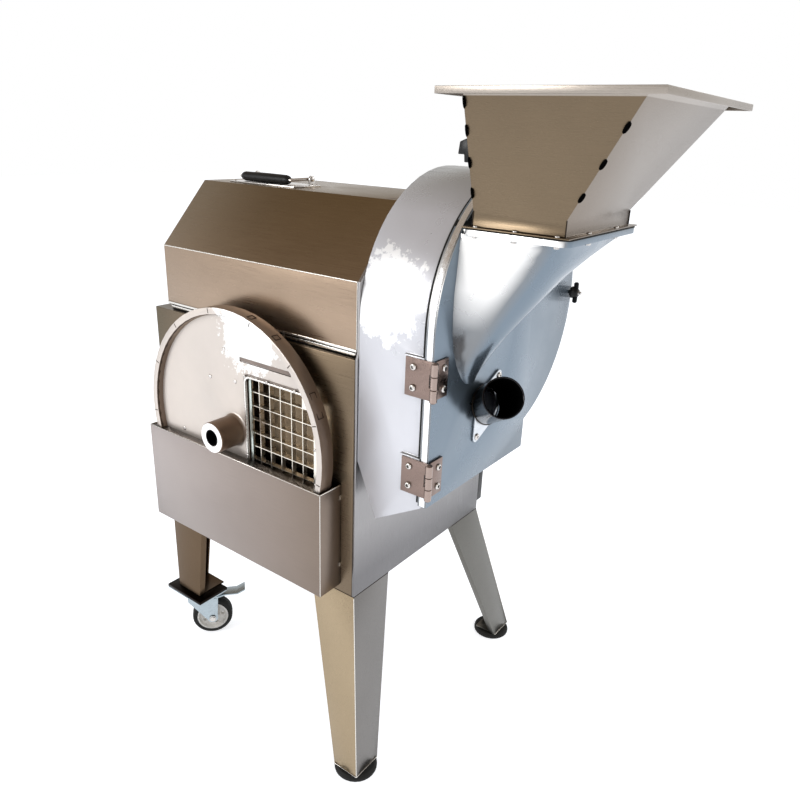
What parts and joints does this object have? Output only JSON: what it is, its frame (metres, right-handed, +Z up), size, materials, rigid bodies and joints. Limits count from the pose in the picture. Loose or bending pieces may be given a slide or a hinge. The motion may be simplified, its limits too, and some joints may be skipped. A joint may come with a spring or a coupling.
{
  "type": "vegetable cutter",
  "caption": "Floor-standing vegetable slicer and dicer: steel cabinet on legs and casters, cast round slicing housing with a hinged door, chute and hopper, spare dicing disc in a pocket.",
  "frame": {"origin": "bottom centre of the whole machine's box, on the floor", "axes": "+Z up, +X towards the slicing housing and hopper, -Y towards the front with the disc pocket"},
  "size_m": [0.9704, 0.5954, 1.173],
  "materials": {
    "stainless": "brushed stainless sheet",
    "cast_aluminium": "smoothed silver casting",
    "bright_steel": "bright polished steel",
    "zinc_plate": "bright zinc plating",
    "black_rubber": "matte",
    "tyre_rubber": "matte",
    "black_plastic": "satin moulded",
    "wheel_nylon": "moulded nylon",
    "grey_enamel": "enamel",
    "green_button": "gloss",
    "red_button": "gloss"
  },
  "bodies": {
    "machine": {"cabinet_shell": "stainless", "rear_panel": "stainless", "end_plate": "stainless", "hood_seal": "black_rubber", "hood_hinge_fixed_1": "bright_steel", "hood_hinge_fixed_2": "bright_steel", "disc_pocket": "stainless", "leg_front_right": "stainless", "leg_rear_right": "stainless", "leg_front_left": "stainless", "leg_rear_left": "stainless", "foot_front_right": "black_rubber", "foot_rear_right": "black_rubber", "caster_plate_front": "zinc_plate", "caster_plate_rear": "zinc_plate", "casing": "cast_aluminium", "hinge_casing_leaf_lower": "bright_steel", "hinge_casing_leaf_upper": "bright_steel", "latch_bracket": "bright_steel", "bearing_housing": "cast_aluminium", "bearing_front": "bright_steel", "bearing_rear": "bright_steel", "drive_belt": "black_rubber", "motor": "grey_enamel", "motor_base": "stainless", "switch_box": "black_plastic"},
    "hood": {"hood": "stainless", "hood_hinge_moving_1": "bright_steel", "hood_hinge_moving_2": "bright_steel", "handle_base": "bright_steel"},
    "handle": {"handle_bail": "bright_steel", "handle_grip": "black_plastic"},
    "door": {"door": "cast_aluminium", "hinge_door_leaf_lower": "bright_steel", "hinge_door_leaf_upper": "bright_steel", "feed_tube": "stainless", "hopper_gasket": "black_rubber", "hopper": "stainless", "hopper_sensor": "black_plastic"},
    "latch": {"latch_bolt": "bright_steel"},
    "latch_wing": {"latch_knob": "black_plastic"},
    "cutter": {"main_shaft": "bright_steel", "slicing_disc": "cast_aluminium", "disc_nut": "bright_steel", "slicing_knife_1": "bright_steel", "slicing_knife_2": "bright_steel", "driven_pulley": "grey_enamel"},
    "motor_drive": {"motor_pulley": "grey_enamel"},
    "spare_disc": {"dicing_disc": "cast_aluminium", "dicing_grid": "bright_steel"},
    "front_caster": {"caster_fork_front": "zinc_plate"},
    "front_wheel": {"caster_wheel_front": "wheel_nylon", "caster_tyre_front": "tyre_rubber"},
    "front_brake": {"caster_brake_front": "zinc_plate"},
    "rear_caster": {"caster_fork_rear": "zinc_plate"},
    "rear_wheel": {"caster_wheel_rear": "wheel_nylon", "caster_tyre_rear": "tyre_rubber"},
    "rear_brake": {"caster_brake_rear": "zinc_plate"},
    "start": {"start_button": "green_button"},
    "stop": {"stop_button": "red_button"}
  },
  "joints": [
    {"name": "hood_hinge", "type": "hinge", "parent": "machine", "child": "hood", "pos_m": [-0.19275, 0.22255, 0.7832], "axis": [-1, 0, 0], "range_deg": [0, 80]},
    {"name": "handle_fold", "type": "hinge", "parent": "hood", "child": "handle", "pos_m": [-0.28775, -0.02275, 1.0288], "axis": [-1, 0, 0], "range_deg": [0, 90]},
    {"name": "door_hinge", "type": "hinge", "parent": "machine", "child": "door", "pos_m": [0.20875, -0.21745, 0.698], "axis": [0, 0, -1], "range_deg": [0, 165]},
    {"name": "latch_swing", "type": "hinge", "parent": "machine", "child": "latch", "pos_m": [0.16125, 0.25365, 0.842], "axis": [0, 0, 1], "range_deg": [0, 110]},
    {"name": "latch_knob_turn", "type": "hinge", "parent": "latch", "child": "latch_wing", "pos_m": [0.20425, 0.25365, 0.842], "axis": [1, 0, 0], "continuous": true},
    {"name": "cutter_spin", "type": "hinge", "parent": "machine", "child": "cutter", "pos_m": [0.05725, 0.02025, 0.842], "axis": [1, 0, 0], "continuous": true},
    {"name": "motor_spin", "type": "hinge", "parent": "machine", "child": "motor_drive", "pos_m": [0.05725, 0.02025, 0.43], "axis": [1, 0, 0], "continuous": true},
    {"name": "spare_disc_lift", "type": "slide", "parent": "machine", "child": "spare_disc", "axis": [0, 0, 1], "range_m": [0, 0.2]},
    {"name": "front_caster_swivel", "type": "hinge", "parent": "machine", "child": "front_caster", "pos_m": [-0.42875, -0.18575, 0.1], "axis": [0, 0, 1], "continuous": true},
    {"name": "front_wheel_roll", "type": "hinge", "parent": "front_caster", "child": "front_wheel", "pos_m": [-0.40947, -0.16277, 0.045], "axis": [-0.766, 0.6428, 0], "continuous": true},
    {"name": "front_brake_press", "type": "hinge", "parent": "front_caster", "child": "front_brake", "pos_m": [-0.40432, -0.15664, 0.0962], "axis": [-0.766, 0.6428, 0], "range_deg": [0, 8]},
    {"name": "rear_caster_swivel", "type": "hinge", "parent": "machine", "child": "rear_caster", "pos_m": [-0.42875, 0.19425, 0.1], "axis": [0, 0, 1], "continuous": true},
    {"name": "rear_wheel_roll", "type": "hinge", "parent": "rear_caster", "child": "rear_wheel", "pos_m": [-0.40947, 0.21723, 0.045], "axis": [-0.766, 0.6428, 0], "continuous": true},
    {"name": "rear_brake_press", "type": "hinge", "parent": "rear_caster", "child": "rear_brake", "pos_m": [-0.40432, 0.22336, 0.0962], "axis": [-0.766, 0.6428, 0], "range_deg": [0, 8]},
    {"name": "start_press", "type": "slide", "parent": "machine", "child": "start", "axis": [0, -1, 0], "range_m": [0, 0.0035], "stiffness_N_per_m": 400},
    {"name": "stop_press", "type": "slide", "parent": "machine", "child": "stop", "axis": [0, -1, 0], "range_m": [0, 0.0035], "stiffness_N_per_m": 400}
  ],
  "couplings": [
    {"joint": "motor_spin", "follows": "cutter_spin", "ratio": 2.1148}
  ]
}
